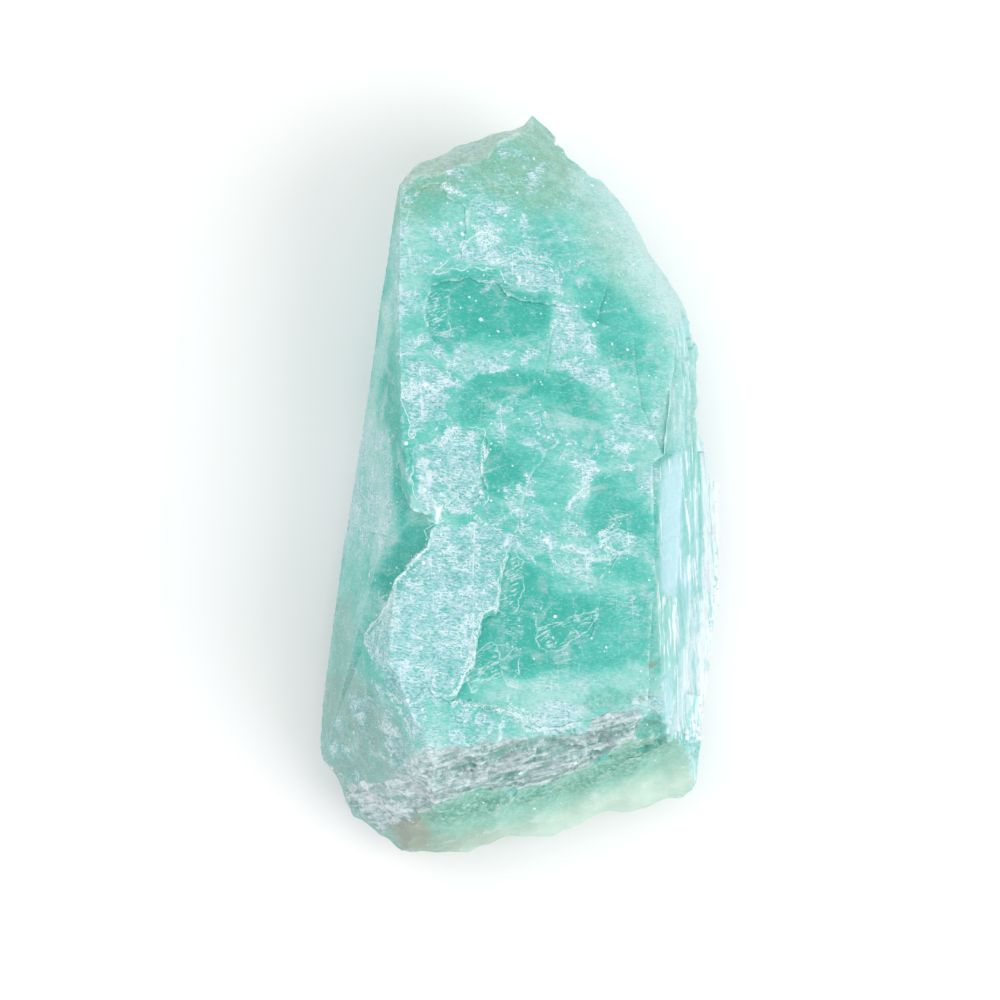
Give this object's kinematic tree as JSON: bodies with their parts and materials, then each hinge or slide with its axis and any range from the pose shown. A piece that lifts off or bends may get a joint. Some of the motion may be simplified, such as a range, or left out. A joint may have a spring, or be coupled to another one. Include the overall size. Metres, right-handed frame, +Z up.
{
  "type": "rough amazonite",
  "caption": "Rough lump of translucent blue-green feldspar, a tapered slab with cleavage ledges, a stepped side and uneven broken ends, resting on a small flat spot.",
  "frame": {"origin": "under the middle of the lump's bounding box, on the surface that it rests on", "axes": "+Z up out of the surface; +Y along the length, towards the narrow end; +X towards the stepped side"},
  "size_m": [0.0434, 0.08, 0.026],
  "materials": {
    "amazonite": "translucent blue-green stone, waxy on the cleavages, with frosted white layers and pale thin edges"
  },
  "bodies": {
    "root": {"amazonite_lump": "amazonite"}
  },
  "joints": []
}
